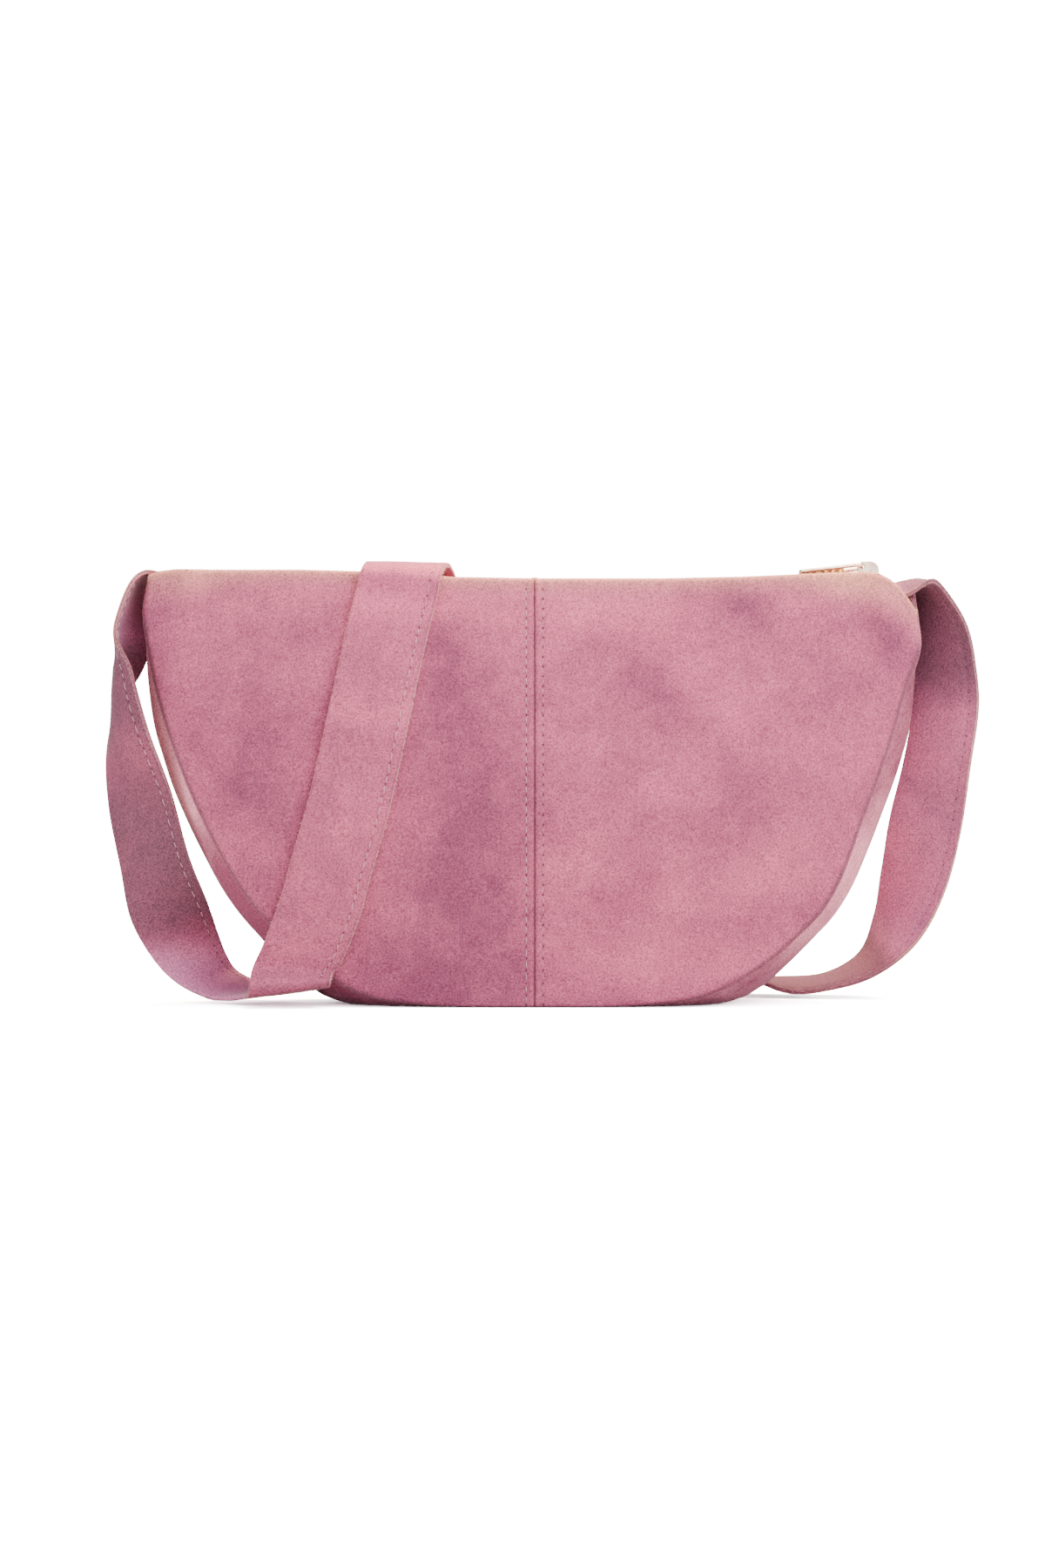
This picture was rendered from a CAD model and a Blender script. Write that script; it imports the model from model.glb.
# Half-moon suede shoulder bag: skins, seams, stitching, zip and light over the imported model.
import math

import bmesh
import bpy
import numpy as np
from mathutils import Matrix, Vector


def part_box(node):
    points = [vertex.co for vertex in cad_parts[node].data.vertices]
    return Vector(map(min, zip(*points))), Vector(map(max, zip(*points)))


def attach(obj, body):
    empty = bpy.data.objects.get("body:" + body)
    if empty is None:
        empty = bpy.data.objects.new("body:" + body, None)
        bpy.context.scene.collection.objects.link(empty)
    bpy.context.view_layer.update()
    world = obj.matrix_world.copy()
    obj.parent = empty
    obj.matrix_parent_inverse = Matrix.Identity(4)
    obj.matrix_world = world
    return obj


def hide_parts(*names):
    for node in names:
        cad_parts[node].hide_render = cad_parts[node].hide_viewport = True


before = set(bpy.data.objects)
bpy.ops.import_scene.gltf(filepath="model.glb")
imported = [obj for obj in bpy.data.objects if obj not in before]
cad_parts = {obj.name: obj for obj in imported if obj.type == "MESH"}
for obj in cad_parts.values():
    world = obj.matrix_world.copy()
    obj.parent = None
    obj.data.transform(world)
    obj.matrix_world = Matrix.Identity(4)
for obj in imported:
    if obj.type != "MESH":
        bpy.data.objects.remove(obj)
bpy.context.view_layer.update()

mm = 0.001
chance = np.random.default_rng(11)
bothSides = ((-1, "left"), (1, "right"))
bothFaces = ((-1, "front"), (1, "back"))


# Arithmetic on arrays of points

def smooth(t):
    t = np.clip(t, 0.0, 1.0)
    return t * t * (3 - 2 * t)


def ramp(value, start, length):
    return smooth((value - start) / length)


def fall(value, start, length):
    return smooth((start - value) / length)


def mix(a, b, t):
    return a + (b - a) * t


def hump(x, centre, spread):
    return np.exp(-((x - centre) / spread) ** 2)


def unit(v):
    return v / np.maximum(np.linalg.norm(v, axis=-1, keepdims=True), 1e-12)


def readTable(rows, x):  # rows of (place, value) in millimetres
    places, values = zip(*rows)
    return np.interp(x / mm, places, values) * mm


def evenCurve(rows, steps, measured, fineness=12):  # even steps along a smooth curve through the rows
    rows = np.array(rows, float)
    ends = np.vstack([2 * rows[:1] - rows[1:2], rows, 2 * rows[-1:] - rows[-2:-1]])
    span = len(rows) - 1
    place = np.linspace(0, span, steps * fineness + 1)
    i = np.minimum(place.astype(int), span - 1)
    f = (place - i)[:, None]
    p0, p1, p2, p3 = ends[i], ends[i + 1], ends[i + 2], ends[i + 3]
    fine = p1 + 0.5 * ((p2 - p0) * f + (2 * p0 - 5 * p1 + 4 * p2 - p3) * f ** 2
                       + (3 * p1 - 3 * p2 + p3 - p0) * f ** 3)
    stepLengths = np.linalg.norm(np.diff(fine[:, :measured], axis=0), axis=1)
    run = np.concatenate([[0.0], np.cumsum(stepLengths)])
    even = np.linspace(0, run[-1], steps + 1)
    return np.stack([np.interp(even, run, column) for column in fine.T], axis=1), run[-1]


waveShape = dict(ways=4, finer=0.9, spread=(0.8, 1.3), phase=6.3, fade=1.6, evening=7.0)


def waves(p, size, seed, layers=3):  # soft random swell between -1 and 1 over points p
    local = np.random.default_rng(seed)
    total = np.zeros(p.shape[:-1])
    for layer in range(layers):
        for _ in range(waveShape["ways"]):
            way = unit(local.normal(size=3))
            scale = size / (1.0 + waveShape["finer"] * layer) * local.uniform(*waveShape["spread"])
            phase = local.uniform(0, waveShape["phase"])
            total += np.sin(p @ way * (2 * math.pi / scale) + phase) / (waveShape["fade"] ** layer)
    return total / waveShape["evening"]


# Camera, level and a metre and a half in front

camera = dict(place=(-5.7 * mm, -1492 * mm, 105 * mm), lens=71.28, sensor=36.0, near=50 * mm)

lens = bpy.data.cameras.new("camera")
lens.lens = camera["lens"]
lens.sensor_width = camera["sensor"]
lens.clip_start = camera["near"]
cameraObject = bpy.data.objects.new("camera", lens)
bpy.context.scene.collection.objects.link(cameraObject)
cameraObject.location = camera["place"]
cameraObject.rotation_euler = (math.pi / 2, 0, 0)
bpy.context.scene.camera = cameraObject


# Node helpers

def newGroup(name, inputs, outputs):
    tree = bpy.data.node_groups.new(name, "ShaderNodeTree")
    for label, kind, value in inputs:
        socket = tree.interface.new_socket(label, in_out="INPUT", socket_type="NodeSocket" + kind)
        socket.default_value = value
    for label, kind in outputs:
        tree.interface.new_socket(label, in_out="OUTPUT", socket_type="NodeSocket" + kind)
    return tree, tree.nodes.new("NodeGroupInput").outputs, tree.nodes.new("NodeGroupOutput").inputs


def addNode(tree, kind, sockets=(), **settings):
    node = tree.nodes.new("ShaderNode" + kind)
    for key, value in settings.items():
        setattr(node, key, value)
    for key, value in dict(sockets).items():
        if isinstance(value, bpy.types.NodeSocket):
            tree.links.new(value, node.inputs[key])
        else:
            node.inputs[key].default_value = value
    return node


def calc(tree, operation, a, b=0.0):
    return addNode(tree, "Math", {0: a, 1: b}, operation=operation).outputs[0]


def times(tree, a, b):
    return calc(tree, "MULTIPLY", a, b)


def plus(tree, a, b):
    return calc(tree, "ADD", a, b)


def rescale(tree, value, low, high, newLow=0.0, newHigh=1.0):
    return addNode(tree, "MapRange", {0: value, 1: low, 2: high, 3: newLow, 4: newHigh}).outputs[0]


def blendColours(tree, factor, a, b, kind="MIX"):
    node = addNode(tree, "Mix", {0: factor}, data_type="RGBA", blend_type=kind)
    for slot, value in ((6, a), (7, b)):
        if isinstance(value, bpy.types.NodeSocket):
            tree.links.new(value, node.inputs[slot])
        else:
            node.inputs[slot].default_value = value
    return node.outputs[2]


def noise(tree, place, scale, detail=2.0, roughness=0.5, distortion=0.0):
    sockets = {"Vector": place, "Scale": scale, "Detail": detail, "Roughness": roughness,
               "Distortion": distortion}
    return addNode(tree, "TexNoise", sockets).outputs["Fac"]


def placeInMillimetres(tree):
    spot = addNode(tree, "TexCoord").outputs["Object"]
    return addNode(tree, "VectorMath", {0: spot, "Scale": 1 / mm}, operation="SCALE").outputs[0]


def mark(tree, name):  # what a skin says about its nap at each point
    return addNode(tree, "Attribute", attribute_name=name).outputs["Fac"]


def shade(tree, colour, amount):
    grey = addNode(tree, "CombineColor", {0: amount, 1: amount, 2: amount}).outputs[0]
    return blendColours(tree, 1.0, colour, grey, "MULTIPLY")


# Suede nap: cloudy patches where the nap is brushed one way or the other, and a fine grain

nap = dict(patches=3.7, smears=11.0, shares=(0.55, 0.3, 0.15), cloud=(0.247, 0.753), fibres=2.6,
           grainShares=(0.6, 0.4), gain=4.0, roughness=(0.97, 0.86))


def buildSuedeGroup():
    tree, given, out = newGroup("suede nap", [
        ("Nap", "Color", (0.6, 0.27, 0.34, 1)), ("Brushed Dark", "Color", (0.5, 0.2, 0.27, 1)),
        ("Brushed Light", "Color", (0.7, 0.34, 0.4, 1)), ("Pressed", "Color", (0.16, 0.066, 0.1, 1)),
        ("Rubbed", "Color", (0.9, 0.36, 0.26, 1)), ("Cloud Scale", "Float", 0.028),
        ("Cloud Amount", "Float", 0.85), ("Grain Scale", "Float", 1.1), ("Grain Amount", "Float", 0.84),
        ("Brushing", "Float", 0.267), ("Crease Depth", "Float", 0.8),
    ], [("Colour", "Color"), ("Height", "Float"), ("Roughness", "Float")])
    place = placeInMillimetres(tree)
    cloudScale, grainScale = given["Cloud Scale"], given["Grain Scale"]
    broad = noise(tree, place, cloudScale, 3.0, 0.5, 0.6)
    patches = noise(tree, place, times(tree, cloudScale, nap["patches"]), 3.0, 0.55, 0.4)
    smears = noise(tree, place, times(tree, cloudScale, nap["smears"]), 2.0, 0.6)
    broadShare, patchShare, smearShare = nap["shares"]
    lying = plus(tree, times(tree, broad, broadShare), times(tree, patches, patchShare))
    lying = plus(tree, lying, times(tree, smears, smearShare))
    lying = plus(tree, lying, times(tree, mark(tree, "brushed"), given["Brushing"]))
    cloud = rescale(tree, lying, *nap["cloud"])
    brushed = blendColours(tree, cloud, given["Brushed Dark"], given["Brushed Light"])
    colour = blendColours(tree, given["Cloud Amount"], given["Nap"], brushed)
    # Rims and corners are rubbed pale, creases pressed dark, where the skins are marked for it
    colour = blendColours(tree, mark(tree, "rubbed"), colour, given["Rubbed"])
    pressed = times(tree, mark(tree, "crease"), given["Crease Depth"])
    colour = blendColours(tree, pressed, colour, given["Pressed"])
    grain = noise(tree, place, grainScale, 2.0, 0.7)
    fibre = noise(tree, place, times(tree, grainScale, nap["fibres"]), 2.0, 0.6)
    grainShare, fibreShare = nap["grainShares"]
    speckle = plus(tree, times(tree, grain, grainShare), times(tree, fibre, fibreShare))
    gain = times(tree, calc(tree, "SUBTRACT", speckle, 0.5), given["Grain Amount"])
    gain = plus(tree, times(tree, gain, nap["gain"]), 1.0)
    tree.links.new(shade(tree, colour, gain), out["Colour"])
    tree.links.new(speckle, out["Height"])
    tree.links.new(rescale(tree, cloud, 0.0, 1.0, *nap["roughness"]), out["Roughness"])
    return tree


# Woven cloth: warp over weft, for the lining and the zip's tape

weave = dict(crossing=0.15, slubScale=0.5, dull=(1.1, 0.85))


def buildWeaveGroup():
    tree, given, out = newGroup("plain weave", [
        ("Warp", "Color", (0.5, 0.3, 0.34, 1)), ("Weft", "Color", (0.42, 0.24, 0.28, 1)),
        ("Threads", "Float", 2.2), ("Slub", "Float", 0.3),
    ], [("Colour", "Color"), ("Height", "Float")])
    place = placeInMillimetres(tree)
    parts = addNode(tree, "SeparateXYZ", {0: place}).outputs
    turns = times(tree, given["Threads"], math.pi)
    warp = calc(tree, "SINE", times(tree, parts[0], turns))
    weft = calc(tree, "SINE", times(tree, plus(tree, parts[1], parts[2]), turns))
    over = times(tree, warp, weft)
    top = rescale(tree, over, -weave["crossing"], weave["crossing"])
    uneven = noise(tree, place, times(tree, given["Threads"], weave["slubScale"]), 2.0, 0.6)
    colour = blendColours(tree, top, given["Warp"], given["Weft"])
    dull = rescale(tree, times(tree, uneven, given["Slub"]), 0.0, 0.3, *weave["dull"])
    tree.links.new(shade(tree, colour, dull), out["Colour"])
    tree.links.new(calc(tree, "ABSOLUTE", over), out["Height"])
    return tree


# Polished plating: faint rubbing marks and a warmer tone where it is handled

rubbing = dict(stretch=(0.25, 3.0, 3.0), smudges=0.35, smudged=(0.4, 0.65), marked=(0.45, 0.75), rough=0.16)


def buildPlatingGroup():
    tree, given, out = newGroup("rubbed plating", [
        ("Plating", "Color", (0.93, 0.77, 0.55, 1)), ("Handled", "Color", (0.8, 0.43, 0.4, 1)),
        ("Mark Scale", "Float", 0.9), ("Polish", "Float", 0.24),
    ], [("Colour", "Color"), ("Roughness", "Float"), ("Height", "Float")])
    place = placeInMillimetres(tree)
    stretched = addNode(tree, "VectorMath", {0: place, 1: rubbing["stretch"]}, operation="MULTIPLY")
    marks = noise(tree, stretched.outputs[0], given["Mark Scale"], 4.0, 0.7)
    smudge = noise(tree, place, times(tree, given["Mark Scale"], rubbing["smudges"]), 2.0, 0.5)
    smudged = rescale(tree, smudge, *rubbing["smudged"])
    tree.links.new(blendColours(tree, smudged, given["Plating"], given["Handled"]), out["Colour"])
    rough = plus(tree, given["Polish"], rescale(tree, marks, *rubbing["marked"], 0.0, rubbing["rough"]))
    tree.links.new(rough, out["Roughness"])
    tree.links.new(marks, out["Height"])
    return tree


suedeGroup = buildSuedeGroup()
weaveGroup = buildWeaveGroup()
platingGroup = buildPlatingGroup()


def newMaterial(name, group, values, bumpStrength, bumpDistance, fixed):
    made = bpy.data.materials.new(name)
    made.use_nodes = True
    tree = made.node_tree
    shader = tree.nodes["Principled BSDF"]
    used = tree.nodes.new("ShaderNodeGroup")
    used.node_tree = group
    for key, value in values.items():
        used.inputs[key].default_value = value
    tree.links.new(used.outputs["Colour"], shader.inputs["Base Color"])
    if "Roughness" in used.outputs:
        tree.links.new(used.outputs["Roughness"], shader.inputs["Roughness"])
    relief = addNode(tree, "Bump", {"Strength": bumpStrength, "Distance": bumpDistance,
                                    "Height": used.outputs["Height"]})
    tree.links.new(relief.outputs[0], shader.inputs["Normal"])
    for key, value in fixed.items():
        shader.inputs[key].default_value = value
    return made


suedeSurface = dict(bump=0.45, bumpDepth=0.35 * mm, specular=0.1, sheen=0.34, sheenRoughness=0.25,
                    sheenTint=(1.0, 0.86, 0.8, 1), rubbed=(0.9, 0.36, 0.26))
suedeLooks = {
    "panel suede": dict(nap=(0.49, 0.093, 0.189), dark=(0.245, 0.058, 0.121), light=(0.68, 0.139, 0.259)),
    "gusset suede": dict(nap=(0.5, 0.115, 0.215), dark=(0.3, 0.066, 0.13), light=(0.95, 0.34, 0.46),
                         sheen=0.14),
    "strap suede": dict(nap=(0.53, 0.1, 0.204), dark=(0.2, 0.063, 0.112), light=(0.72, 0.14, 0.27),
                        rubbed=(0.77, 0.35, 0.63)),
    "cut edge": dict(nap=(0.66, 0.22, 0.3), dark=(0.55, 0.16, 0.24), light=(0.72, 0.27, 0.33)),
    "nap fibre": dict(nap=(0.95, 0.55, 0.42), dark=(0.85, 0.42, 0.34), light=(1.0, 0.65, 0.5)),
}
suede = {}
for title, look in suedeLooks.items():
    look = {**suedeSurface, **look}
    colours = {"Nap": "nap", "Brushed Dark": "dark", "Brushed Light": "light", "Rubbed": "rubbed"}
    suede[title] = newMaterial(
        title, suedeGroup, {socket: (*look[key], 1) for socket, key in colours.items()},
        look["bump"], look["bumpDepth"], {
            "Specular IOR Level": look["specular"], "Sheen Weight": look["sheen"],
            "Sheen Roughness": look["sheenRoughness"], "Sheen Tint": look["sheenTint"]})
thread = newMaterial("stitching thread", weaveGroup, {
    "Warp": (0.74, 0.33, 0.41, 1), "Weft": (0.66, 0.28, 0.36, 1), "Threads": 3.0}, 0.5, 0.1 * mm,
    {"Roughness": 0.6, "Sheen Weight": 0.2})
needleHole = newMaterial("needle hole", suedeGroup, {
    "Nap": (0.13, 0.03, 0.055, 1), "Brushed Dark": (0.08, 0.02, 0.04, 1),
    "Brushed Light": (0.2, 0.05, 0.09, 1)}, 0.4, 0.2 * mm, {"Roughness": 1.0, "Specular IOR Level": 0.0})
liningCloth = newMaterial("lining cloth", weaveGroup, {
    "Warp": (0.42, 0.16, 0.21, 1), "Weft": (0.35, 0.12, 0.17, 1), "Threads": 1.6}, 0.5, 0.12 * mm,
    {"Roughness": 0.8, "Sheen Weight": 0.15})
tapeCloth = newMaterial("zip tape cloth", weaveGroup, {
    "Warp": (0.5, 0.12, 0.2, 1), "Weft": (0.42, 0.095, 0.165, 1), "Threads": 2.4}, 0.6, 0.15 * mm,
    {"Roughness": 0.75, "Sheen Weight": 0.2})
plating = newMaterial("pale gold plating", platingGroup, {}, 0.08, 0.05 * mm, {"Metallic": 1.0})
toothMetal = newMaterial("zip tooth metal", platingGroup, {
    "Plating": (0.8, 0.55, 0.28, 1), "Handled": (0.68, 0.42, 0.22, 1), "Polish": 0.28}, 0.15, 0.05 * mm,
    {"Metallic": 1.0})
print("materials made")


# Mesh helpers

def install(name, mesh, body, node=None):  # a piece of the scene, on its body and for its node
    made = bpy.data.objects.new(name, mesh)
    bpy.context.scene.collection.objects.link(made)
    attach(made, body)
    if node:
        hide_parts(node)
    return made


def addMesh(name, points, faces, looks, node=None, faceLooks=None, body="bag", marks=None):
    mesh = bpy.data.meshes.new(name)
    mesh.from_pydata(points.reshape(-1, 3).tolist(), [], [tuple(face) for face in faces])
    for look in looks:
        mesh.materials.append(look)
    if faceLooks is not None:
        mesh.polygons.foreach_set("material_index", np.asarray(faceLooks, np.int32))
    for label, values in (marks or {}).items():
        layer = mesh.attributes.new(label, "FLOAT", "POINT")
        layer.data.foreach_set("value", np.clip(values, -1, 1).astype(np.float32).ravel())
    mesh.shade_smooth()
    mesh.update()
    return install(name, mesh, body, node)


def gridFaces(rows, columns, closed=False):
    index = np.arange(rows * columns).reshape(rows, columns)
    if closed:
        index = np.concatenate([index, index[:, :1]], axis=1)
    corners = [index[:-1, :-1], index[1:, :-1], index[1:, 1:], index[:-1, 1:]]
    return np.stack(corners, axis=-1).reshape(-1, 4)


def facing(points, faces, outward):  # flips the faces if they look away from outward
    flat = points.reshape(-1, 3)
    a, b, c, d = (flat[faces[:, k]] for k in range(4))
    normals = np.cross(c - a, d - b)
    centres = (a + b + c + d) / 4
    return faces if (normals * outward(centres)).sum() > 0 else faces[:, ::-1]


def addSkin(name, points, thickness, look, outward, node, marks=None):
    faces = facing(points, gridFaces(*points.shape[:2]), outward)
    made = addMesh(name, points, faces, [look], node, marks=marks)
    solid = made.modifiers.new("thickness", "SOLIDIFY")
    solid.thickness = thickness
    solid.offset = -1
    return made


def turnOver(edge, steps, outX=1, outZ=0):  # one row for each step of a turned edge: (inward, back)
    rows = []
    for inward, back in steps:
        row = edge.copy()
        row[..., 0] -= outX * inward
        row[..., 1] -= back
        row[..., 2] -= outZ * inward
        rows.append(row)
    return rows


# The bag's shape, shared by every skin

bag = dict(halfWidth=180 * mm, height=204 * mm, baseHalf=34 * mm, endHalf=21 * mm, mouthHalf=18 * mm,
           crown=11 * mm, lift=3 * mm, leather=1.5 * mm, corner=0.84, cornerEnd=0.93, lastShare=0.9985,
           baseCrown=5.5 * mm, sideCrown=10.5 * mm, endCrown=1.2 * mm, middle=(0, 0, 150 * mm),
           outlineSteps=150)
outlineShares = [
    (0.0, 0.0), (0.12, 0.0), (0.22, 0.004), (0.36, 0.02), (0.47, 0.047), (0.58, 0.098), (0.68, 0.172),
    (0.752, 0.245), (0.822, 0.348), (0.889, 0.48), (0.932, 0.6), (0.965, 0.72), (0.988, 0.82),
    (1.0, 0.91), (1.0, 1.0)]
faceHeight = bag["height"] - bag["lift"]
outlineRows = [(x * bag["halfWidth"], bag["lift"] + z * faceHeight) for x, z in outlineShares]
outline, outlineLength = evenCurve(outlineRows, bag["outlineSteps"], 2)
outlineTurn = unit(np.gradient(outline, axis=0))
outlineTurn[0] = (1, 0)
outlineOut = np.stack([outlineTurn[:, 1], -outlineTurn[:, 0]], axis=1)


def edgeHeight(x):
    return np.interp(np.abs(x), outline[:, 0], outline[:, 1])


def sideDepth(z):
    return mix(bag["baseHalf"], bag["endHalf"], smooth(z / bag["height"]))


def topDepth(x):
    corner = ramp(np.abs(x) / bag["halfWidth"], bag["corner"], bag["cornerEnd"] - bag["corner"])
    return mix(bag["mouthHalf"], bag["endHalf"], corner)


def panelDepth(x, z):
    low = edgeHeight(np.minimum(np.abs(x), bag["lastShare"] * bag["halfWidth"]))
    tall = np.maximum(bag["height"] - low, bag["leather"])
    v = np.clip((z - low) / tall, 0, 1)
    return mix(sideDepth(low), topDepth(x), v) + bag["crown"] * np.sin(math.pi * v) * tall / bag["height"]


def edgeDistance(x, z):  # how far a point of a panel lies inside the outline
    spots = np.stack([np.abs(x).ravel(), z.ravel()], axis=1)
    best = np.full(len(spots), np.inf)
    for start, end in zip(outline[:-1], outline[1:]):
        way = end - start
        share = np.clip((spots - start) @ way / (way @ way), 0, 1)
        best = np.minimum(best, np.linalg.norm(spots - start - share[:, None] * way, axis=1))
    return best.reshape(x.shape)


# How the bag has settled, with (place, lift) in millimetres along the mouth, and (height, pressed height)
settled = dict(
    front=[(-180, 0.4), (-176, 2.0), (-168, 3.0), (-110, 3.0), (-75, 2.0), (-45, -0.4), (0, -1.3),
           (60, -1.3), (100, -0.4), (130, 1.0), (155, 1.9), (163, 1.0), (168.5, -1.9), (173, -6),
           (177.5, -12), (180, -16)],
    back=[(-180, -5), (-172, 0.5), (-120, 1.6), (-40, -0.6), (0, -1.2), (60, 0.3), (120, 1.6), (160, 1.2),
          (171, -3), (180, -11)],
    innerReach=10 * mm, outerReach=18 * mm, rise=110 * mm,
    sink=4.4 * mm, sinkAlong=(165 * mm, 10 * mm), sinkAbove=(150 * mm, 50 * mm),
    foot=[(0, 0), (1, 0.08), (3, 0.15), (5, 0.8), (9, 3.9), (14, 9.7), (20, 17.4), (27, 25.8), (34, 34)],
    footTop=34 * mm,
    # the soft ends lean: side, where it starts, height, spread, how far
    leans=[(-1, 112 * mm, 158 * mm, 48 * mm, 4.8 * mm), (-1, 140 * mm, 186 * mm, 12 * mm, 1.6 * mm),
           (1, 62 * mm, 38 * mm, 30 * mm, 4.8 * mm), (1, 110 * mm, 96 * mm, 26 * mm, -1.7 * mm),
           (1, 140 * mm, 184 * mm, 16 * mm, 2.6 * mm)],
    leanOver=50 * mm, leanInside=0.5)


def settle(p):
    x, y, z = p[..., 0], p[..., 1], p[..., 2]
    lift = np.where(y < 0, readTable(settled["front"], x), readTable(settled["back"], x))
    side = ramp(np.abs(y), settled["innerReach"], settled["outerReach"] - settled["innerReach"])
    rise = ramp(z, settled["rise"], bag["height"] - settled["rise"])
    moved = p.copy()
    moved[..., 2] = z + lift * side * rise
    sink = settled["sink"] * ramp(x, *settled["sinkAlong"]) * ramp(z, *settled["sinkAbove"])
    moved[..., 2] -= sink * (1 - side)
    # Its weight presses the lower seams down on the floor
    pressed = readTable(settled["foot"], z)
    moved[..., 2] -= np.where(z < settled["footTop"], z - pressed, 0)
    outer = mix(settled["leanInside"], 1.0, smooth(np.abs(y) / settled["outerReach"]))
    for way, start, height, spread, reach in settled["leans"]:
        leaning = ramp(way * x, start, settled["leanOver"]) * hump(z, height, spread)
        moved[..., 0] += way * reach * outer * leaning
    return moved


# Nap fibres: short pale hairs that catch the light along the rims and raw edges

fuzz = dict(long=(0.4 * mm, 1.2 * mm), wide=0.06 * mm, spread=0.5, inset=1.001, lean=0.35,
            rim=1800, rimRows=6, rawEdge=5000, fold=3000)


def growFuzz(name, patch, outward, count):  # patch: a strip of the skin; outward: one way for each row
    rows, columns = patch.shape[:2]
    u = chance.uniform(0, rows - fuzz["inset"], count)
    v = chance.uniform(0, columns - fuzz["inset"], count)
    i, j = u.astype(int), v.astype(int)
    f, g = (u - i)[:, None], (v - j)[:, None]
    roots = mix(mix(patch[i, j], patch[i + 1, j], f), mix(patch[i, j + 1], patch[i + 1, j + 1], f), g)
    way = unit(outward[i] + chance.normal(0, fuzz["spread"], roots.shape))
    side = unit(np.cross(way, chance.normal(size=roots.shape))) * fuzz["wide"]
    tips = roots + way * chance.uniform(*fuzz["long"], count)[:, None]
    points = np.stack([roots - side, roots + side, tips], axis=1)
    addMesh(name, points, np.arange(count * 3).reshape(-1, 3), [suede["nap fibre"]])


# Front and back panels: rolled seam at the outline, turned seam at the middle, rolled hem on top

panel = dict(rows=92, crowding=1.6, near=[0.15, 0.3, 0.5, 0.75, 1.05, 1.5, 2.0, 2.6, 3.2, 3.8, 4.4, 5.2, 6.2],
             slantStart=7.2 * mm, slantTop=0.92, endClear=0.15 * mm, endRise=2 * mm,
             swell=0.35 * mm, swellSize=70 * mm, swellPlane=50 * mm, calmEdge=26 * mm, calmTop=14 * mm,
             hemArc=8, hemDrop=4, hemRadius=1.9 * mm, hemHeight=3.6 * mm, hemDepth=7.3 * mm,
             hemEnd=164 * mm, hemFade=8 * mm, hemOpen=0.55,
             seamRoll=3.0 * mm, centreRoll=1.5 * mm, centreFall=0.75, centreTuck=2.5 * mm,
             lap=1.3 * mm, lapAt=(0.8 * mm, 3.5 * mm), lapStart=(4 * mm, 12 * mm),
             ridge=0.12 * mm, ridgeAt=(2.1 * mm, 0.8 * mm),
             stitchReach=3.8 * mm, stitchDip=0.3 * mm, stitchDipWidth=1.0 * mm,
             drawnIn={-1: 0.45, 1: 0.75}, needleHole=0.8 * mm,
             # the edges turn over behind the face: (inward, back), with the allowance deepest
             allowance=(4 * mm, 3.2 * mm), seamTurn=[(1.0 * mm, 1.0 * mm), (0.3 * mm, 0.4 * mm)],
             endTurn=[(0.3 * mm, 0.5 * mm), (1.0 * mm, 1.1 * mm)], flatExtra=(6 * mm, 16 * mm),
             seamCrease=(0.9, 1.0 * mm), creaseTop=(190 * mm, 12 * mm), centreCrease=(0.5, 0.9 * mm),
             stitchCrease=(0.12, 0.6 * mm), rimRub=0.75, rubReach=3.2 * mm)

# Ovals on the faces: x, z, half length, half width, turn in degrees, amount, with sizes in millimetres
cornerRub = [(152, 199, 24, 8, -12, 0.45), (-160, 198, 18, 7, 10, 0.2)]
frontDents = [
    (104, 180, 22, 12, 60, 1.6), (60, 132, 26, 15, -30, 0.9), (112, 116, 30, 16, 50, 1.0),
    (157, 178, 14, 8, 70, 1.8), (84, 62, 34, 14, 30, 0.8), (28, 170, 20, 12, 10, 0.6),
    (-120, 168, 26, 13, -35, 1.1), (-98, 128, 28, 13, -55, 1.0), (-140, 96, 24, 12, -60, 0.9),
    (-30, 110, 22, 40, 0, 0.9), (-26, 52, 30, 16, 20, 0.8), (150, 120, 20, 10, 65, 0.8)]
backDents = [
    (-100, 160, 30, 14, 40, 1.2), (60, 140, 34, 16, -30, 1.2), (120, 110, 26, 14, 60, 1.0),
    (-50, 70, 34, 14, 10, 0.9), (20, 60, 26, 12, -20, 0.8), (-140, 120, 24, 12, 60, 1.0)]
# and how the nap was last brushed, light above zero
frontNap = [
    (-42, 150, 36, 15, 80, -0.7), (-35, 84, 66, 27, 86, -0.95), (-24, 20, 34, 13, 0, -0.6),
    (-38, 190, 18, 9, 0, 0.9), (-134, 100, 36, 20, -60, -0.8), (-18, 66, 14, 20, 0, -0.5),
    (-47, 118, 12, 14, 0, 0.4), (-68, 20, 20, 12, 20, -0.6), (-128, 146, 26, 12, -40, -0.5),
    (-126, 188, 26, 10, 0, 0.6), (-130, 82, 20, 12, -50, 0.5), (20, 188, 22, 9, 0, 0.6),
    (60, 187, 26, 9, 0, 0.5), (100, 188, 18, 9, -40, -0.8), (165, 178, 16, 9, -60, -0.8),
    (60, 146, 24, 10, -40, -0.5), (100, 146, 24, 10, 30, 0.4), (60, 104, 20, 12, 20, 0.7),
    (100, 104, 18, 10, -40, -0.4), (20, 66, 20, 14, 10, 0.8), (96, 62, 36, 14, 20, 0.8),
    (60, 22, 50, 12, 0, 0.6)]
backNap = [
    (-60, 150, 36, 15, 60, -0.8), (40, 110, 30, 14, -30, 0.7), (110, 150, 26, 12, 40, -0.7),
    (-100, 90, 30, 14, -40, 0.6), (0, 40, 50, 14, 0, -0.5)]
dents = {-1: frontDents, 1: backDents}
brushing = {-1: frontNap, 1: backNap}


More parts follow.
